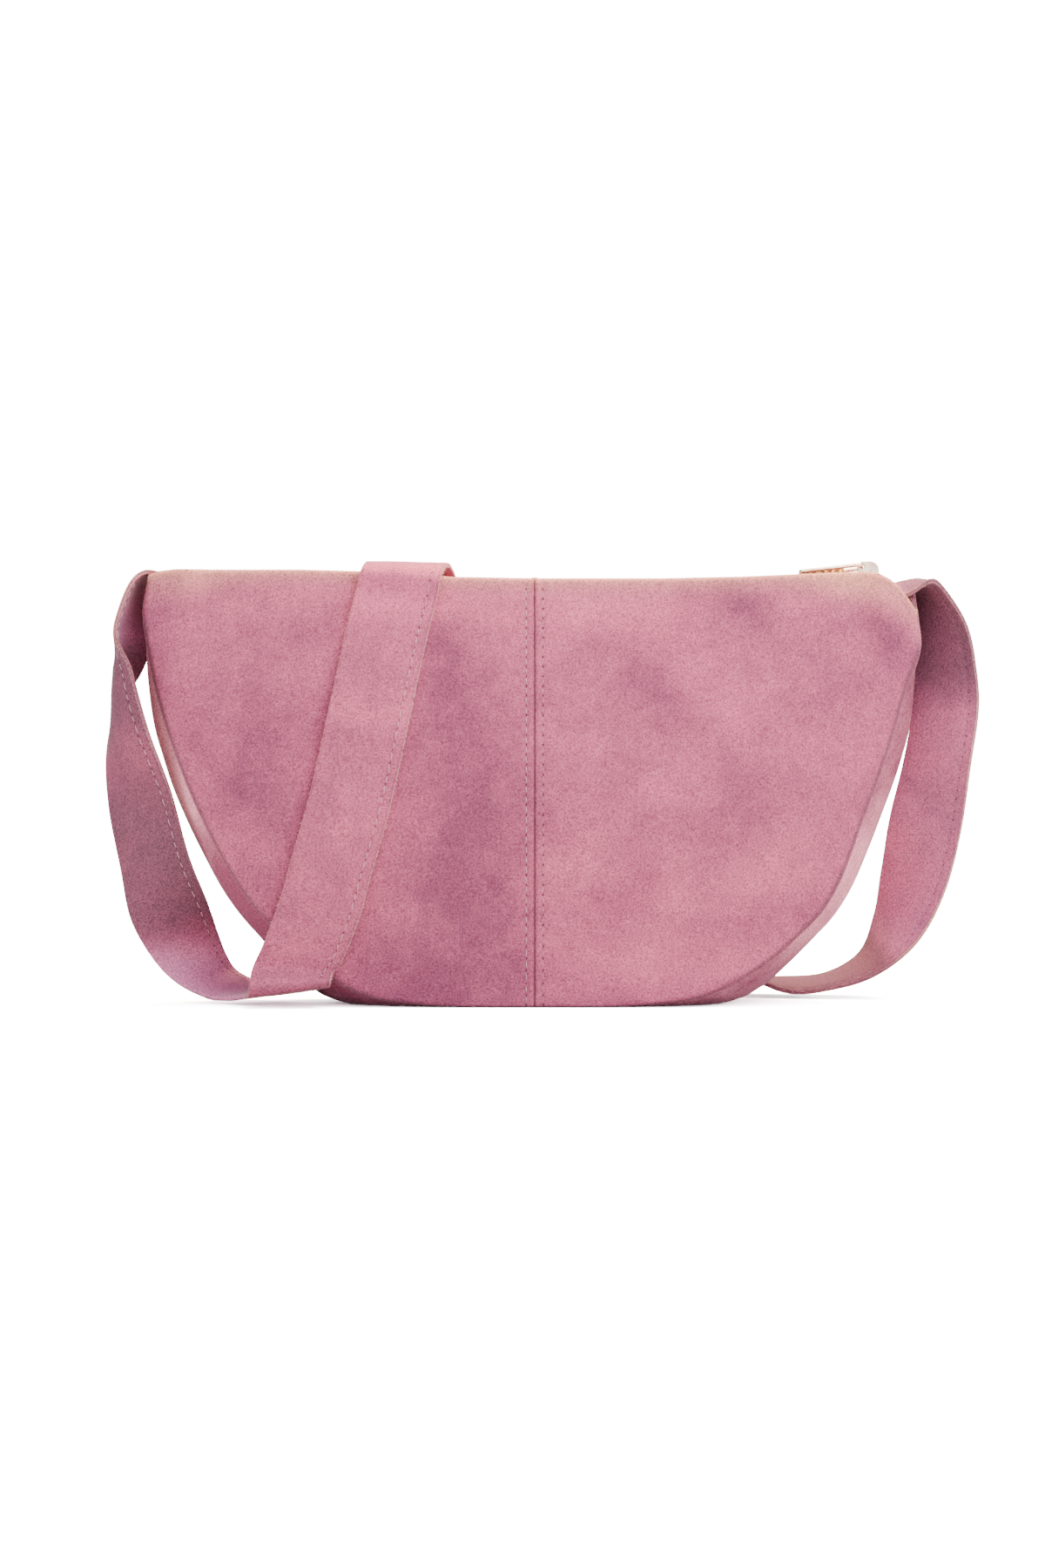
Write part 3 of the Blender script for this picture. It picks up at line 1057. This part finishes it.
def bevelledBox(low, high, width):
    bm = bmesh.new()
    bmesh.ops.create_cube(bm, size=1)
    for vert in bm.verts:
        vert.co = Vector([mix(a, b, c + 0.5) for a, b, c in zip(low, high, vert.co)])
    bmesh.ops.bevel(bm, geom=bm.edges[:], offset=width, segments=2, affect="EDGES", profile=0.5)
    bm.verts.ensure_lookup_table()
    points = np.array([vert.co[:] for vert in bm.verts])
    faces = [[vert.index for vert in face.verts] for face in bm.faces]
    bm.free()
    return points, faces


def buildTape(front, frontName):
    xs = np.linspace(-zipParts["tapeHalf"], zipParts["tapeHalf"], zipParts["tapeSteps"] + 1)
    across = np.linspace(0, 1, zipParts["tapeRows"] + 1)
    x = np.repeat(xs[:, None], len(across), axis=1)
    # Its outer edge follows the hem where the mouth widens to the corners
    corner = ramp(np.abs(xs), *zipParts["cornerFrom"])
    outer = topDepth(xs) - mix(bag["mouthHalf"] - zipParts["tapeOuter"], zipParts["cornerGap"], corner)
    y = mix(zipParts["tapeInner"], outer[:, None], across[None, :])
    swelling = waves(np.stack([x, y, 0 * x], axis=-1), zipParts["swellSize"], 41, 2)
    z = zipParts["z"] + zipParts["tape"] / 2 + zipParts["tapeSwell"] * swelling
    made = addSkin("zip_tape_" + frontName + "_cloth", settle(np.stack([x, front * y, z], axis=-1)),
                   zipParts["tape"], tapeCloth, lambda centres: np.array([0, 0, 1.0]),
                   "zip_tape_" + frontName)


def buildTeeth(front, frontName):
    half, count, pitch = zipParts["thick"] / 2, zipParts["teeth"], zipParts["pitch"]
    inner, outer = sorted([front * zipParts["tip"], front * (zipParts["bead"] - zipParts["toothSunk"])])
    tooth, toothFaces = bevelledBox((0, inner, -half), (zipParts["toothWidth"], outer, half),
                                    zipParts["toothBevel"])
    first = zipParts["chainStart"] + (0 if front < 0 else pitch / 2)
    points = [tooth + np.array([first + k * pitch, 0, zipParts["z"]]) for k in range(count)]
    faces = [[k * len(tooth) + v for v in face] for k in range(count) for face in toothFaces]
    # The cord that the teeth are clamped on
    wide, tall = zipParts["cordHalf"]
    steps, sides = zipParts["cordSteps"], zipParts["cordSides"]
    xs = np.linspace(zipParts["chainStart"], zipParts["chainStart"] + count * pitch, steps)
    ring = np.linspace(0, 2 * math.pi, sides + 1)[:-1]
    y = front * (zipParts["bead"] - wide) + wide * np.cos(ring)
    z = zipParts["z"] + tall * np.sin(ring)
    points += [np.stack([np.full(sides, x), y, z], axis=1) for x in xs]
    cordFaces = gridFaces(steps, sides, closed=True) + count * len(tooth)
    addMesh("zip_teeth_" + frontName + "_row", np.concatenate(points), faces + cordFaces.tolist(),
            [toothMetal, tapeCloth], "zip_teeth_" + frontName,
            [0] * len(faces) + [1] * len(cordFaces))


for front, frontName in bothFaces:
    buildTape(front, frontName)
    buildTeeth(front, frontName)


def roundedLoop(x0, x1, y0, y1, r, steps=6):
    loop = []
    corners = ((x1 - r, y1 - r, 0), (x0 + r, y1 - r, 90), (x0 + r, y0 + r, 180), (x1 - r, y0 + r, 270))
    for cx, cy, start in corners:
        for k in range(steps + 1):
            angle = math.radians(start + 90 * k / steps)
            loop.append((cx + r * math.cos(angle), cy + r * math.sin(angle)))
    return loop


def addPlate(name, loops, low, high, bevel, body, at, node=None):  # a plated sheet with rounded rims
    curve = bpy.data.curves.new(name, "CURVE")
    curve.dimensions = "2D"
    curve.fill_mode = "BOTH"
    curve.extrude = (high - low) / 2 - bevel
    curve.bevel_depth = bevel
    curve.bevel_resolution = 2
    curve.offset = -bevel
    for loop in loops:
        line = curve.splines.new("POLY")
        line.points.add(len(loop) - 1)
        for point, (x, y) in zip(line.points, loop):
            point.co = (x, y, 0, 1)
        line.use_cyclic_u = True
    maker = bpy.data.objects.new(name + "_outline", curve)
    bpy.context.scene.collection.objects.link(maker)
    mesh = bpy.data.meshes.new_from_object(maker.evaluated_get(bpy.context.evaluated_depsgraph_get()))
    bpy.data.objects.remove(maker)
    bm = bmesh.new()
    bm.from_mesh(mesh)
    bmesh.ops.remove_doubles(bm, verts=bm.verts, dist=0.01 * mm)
    bmesh.ops.translate(bm, verts=bm.verts, vec=(0, 0, (low + high) / 2))
    bm.to_mesh(mesh)
    bm.free()
    mesh.shade_smooth()
    mesh.set_sharp_from_angle(angle=math.radians(40))
    mesh.materials.clear()
    mesh.materials.append(plating)
    mesh.transform(at)
    install(name, mesh, body, node)


def addBlock(name, low, high, bevel, look, slot, at=(0, 0, 0), node=None, body="bag"):
    points, faces = bevelledBox(low, high, bevel)
    addMesh(name, points + np.array(at), faces, [look], node, body=body)


slider = dict(x=160.4 * mm, half=5.5 * mm, wide=4.5 * mm, channel=1.4 * mm, plate=1.2 * mm,
              # half of the plates' outline: end, millimetres in from it, share of the width
              plan=[(1, 0, 0.55), (1, 1.2, 0.9), (1, 2.6, 1), (-1, 3.2, 0.86), (-1, 0.8, 0.74),
                    (-1, 0, 0.6)],
              # the bail's rounded corners: end, millimetres in from it and down from the top
              bail=[(-1, 0, 2.4), (-1, 0.7, 0.8), (-1, 2.0, 0), (1, 3.4, 0), (1, 1.6, 0.9), (1, 0.3, 2.6),
                    (1, 0, 4.4)],
              plateBevel=0.3 * mm, lipAt=0.78, lipHalf=0.45 * mm, lipEdge=0.65 * mm, lipInto=0.4 * mm,
              lipEnds=(1.0 * mm, 1.6 * mm), lipBevel=0.2 * mm,
              postHalf=0.2 * mm, postLong=2.6 * mm, postInto=0.3 * mm, postBevel=0.08 * mm,
              top=10 * mm, bailHalf=0.9 * mm, bailReach=5.2 * mm, bailBevel=0.35 * mm, bailInto=0.6 * mm,
              window=0.95 * mm, windowRound=0.9 * mm, hinge=(157.5 * mm, 0, 209.5 * mm))


def buildSlider():
    middle = (slider["x"], 0, zipParts["z"])
    at = Matrix.Translation(middle)
    h, w, c, p = (slider[key] for key in ("half", "wide", "channel", "plate"))
    plan = [(end * (h - into * mm), w * share) for end, into, share in slider["plan"]]
    loop = plan + [(x, -y) for x, y in plan[::-1]]
    for name, low, high, node in (("upper", c, c + p, "zip_slider"), ("lower", -c - p, -c, None)):
        addPlate("slider_" + name + "_plate", [loop], low, high, slider["plateBevel"], "slider", at, node)
    rear, fore = slider["lipEnds"]
    for side, sideName in bothFaces:
        y = side * w * slider["lipAt"]
        for low, high, name in ((slider["lipEdge"], c + slider["lipInto"], "up"),
                                (-c - slider["lipInto"], -slider["lipEdge"], "down")):
            addBlock("slider_lip_" + name + "_" + sideName, (-h + rear, y - slider["lipHalf"], low),
                     (h - fore, y + slider["lipHalf"], high), slider["lipBevel"], plating, "gold_metal",
                     middle, body="slider")
    # Bail: a rounded bridge along the slider with its window
    reach, top, foot = slider["bailReach"], slider["top"], c + slider["bailInto"]
    corners = [(end * (reach - into * mm), top - down * mm) for end, into, down in slider["bail"]]
    outer = [(-reach, foot), *corners, (reach, foot)]
    x, z, r = slider["hinge"][0] - slider["x"], slider["hinge"][2] - zipParts["z"], slider["window"]
    inner = roundedLoop(x - r, x + r, z - r, z + r, slider["windowRound"])
    addPlate("slider_bail", [outer, inner], -slider["bailHalf"], slider["bailHalf"], slider["bailBevel"],
             "slider", at @ Matrix.Rotation(math.pi / 2, 4, "X"))
    deep, half = c + slider["postInto"], slider["postHalf"]
    addBlock("slider_post", (h - slider["postLong"], -half, -deep), (h, half, deep), slider["postBevel"],
             plating, "gold_metal", middle, body="slider")


pull = dict(long=30.5 * mm, half=2.5 * mm, thick=1.1 * mm, round=0.3 * mm, bevel=0.35 * mm, corner=1.3 * mm,
            eye=9.1 * mm, eyeHalf=1.05 * mm, eyeCorner=0.5 * mm, slope=6.3, askew=31)


def buildPull():
    end = pull["thick"] / 2
    outer = roundedLoop(-pull["long"], end, -pull["half"], pull["half"], pull["corner"])
    inner = roundedLoop(-pull["eye"], -end, -pull["eyeHalf"], pull["eyeHalf"], pull["eyeCorner"])
    edge = end + pull["round"]
    # It hangs a little askew in its eye
    at = (Matrix.Translation(slider["hinge"]) @ Matrix.Rotation(-math.radians(pull["slope"]), 4, "Y")
          @ Matrix.Rotation(-math.radians(pull["askew"]), 4, "X"))
    addPlate("zip_pull_bar", [outer, inner], -edge, edge, pull["bevel"], "pull", at, "zip_pull")


buildSlider()
buildPull()
for name in ("zip_top_stop_front", "zip_top_stop_back", "zip_bottom_stop"):
    addBlock(name + "_crimp", *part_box(name), zipParts["stopBevel"], toothMetal, "zip_teeth", node=name)
print("zip made")


# Floor, light and air

studio = dict(floor=0.5, glow=12, world=0.58, shade=(0.72, 1.0, 1.03), air=17, fade=(0.26, 0.62),
              sheetZ=-0.2 * mm, sheetHalf=6, sheetBack=8, aim=(0, 0, 0.1),
              # name, place, size, power, colour
              lamps=[("overhead softbox", (0.42, -0.42, 1.15), 0.9, 15, (1.0, 0.97, 0.93)),
                     ("key softbox", (0.34, -0.92, 0.42), 1.2, 11.6, (1.0, 0.98, 0.98)),
                     ("top strip", (0.05, 0.16, 1.0), 0.5, 30, (1.0, 0.84, 0.46)),
                     ("left side strip", (-0.95, -0.12, 0.14), 0.45, 5, (1.0, 0.97, 1.0)),
                     ("right side strip", (1.0, 0.1, 0.3), 0.5, 4, (1.0, 0.97, 1.0))])

half, back, low = studio["sheetHalf"], studio["sheetBack"], studio["sheetZ"]
floorMesh = bpy.data.meshes.new("floor")
floorMesh.from_pydata([(-half, -half, low), (half, -half, low), (half, back, low), (-half, back, low)], [],
                      [(0, 1, 2, 3)])
floorObject = bpy.data.objects.new("floor", floorMesh)
bpy.context.scene.collection.objects.link(floorObject)
floorLook = bpy.data.materials.new("studio floor")
floorLook.use_nodes = True
floorTree = floorLook.node_tree
floorTree.nodes.clear()
# The camera sees an overexposed white sheet; the bag is lit by a plain pale one
whiteSheet = addNode(floorTree, "BsdfDiffuse", {"Color": (*[studio["glow"]] * 3, 1)})
paleSheet = addNode(floorTree, "BsdfDiffuse", {"Color": (*[studio["floor"]] * 3, 1)})
rays = addNode(floorTree, "LightPath")
# Away from the bag the sheet runs into the white behind it
farWhite = addNode(floorTree, "Emission", {"Color": (1, 1, 1, 1), "Strength": studio["air"]})
spot = addNode(floorTree, "TexCoord").outputs["Object"]
away = addNode(floorTree, "VectorMath", {0: spot}, operation="LENGTH").outputs["Value"]
near, far = studio["fade"]
fadeOut = addNode(floorTree, "MapRange", {0: away, 1: near, 2: far}, interpolation_type="SMOOTHSTEP")
seenSheet = addNode(floorTree, "MixShader", {0: fadeOut.outputs[0], 1: whiteSheet.outputs[0],
                                             2: farWhite.outputs[0]})
sheet = addNode(floorTree, "MixShader", {0: rays.outputs["Is Camera Ray"], 1: paleSheet.outputs[0],
                                         2: seenSheet.outputs[0]})
addNode(floorTree, "OutputMaterial", {0: sheet.outputs[0]})
floorMesh.materials.append(floorLook)

world = bpy.data.worlds.new("studio")
world.use_nodes = True
bpy.context.scene.world = world
air = world.node_tree
background = air.nodes["Background"]
background.inputs[0].default_value = (*studio["shade"], 1)
background.inputs[1].default_value = studio["world"]
seen = addNode(air, "Background", {0: (1, 1, 1, 1), 1: studio["air"]})
path = addNode(air, "LightPath")
either = addNode(air, "MixShader", {0: path.outputs["Is Camera Ray"], 1: background.outputs[0],
                                    2: seen.outputs[0]})
air.links.new(either.outputs[0], air.nodes["World Output"].inputs[0])

for name, place, size, power, colour in studio["lamps"]:
    lamp = bpy.data.lights.new(name, "AREA")
    lamp.shape = "SQUARE"
    lamp.size = size
    lamp.energy = power
    lamp.color = colour
    made = bpy.data.objects.new(name, lamp)
    bpy.context.scene.collection.objects.link(made)
    made.location = place
    made.rotation_euler = (Vector(studio["aim"]) - Vector(place)).to_track_quat("-Z", "Y").to_euler()
print("studio made")
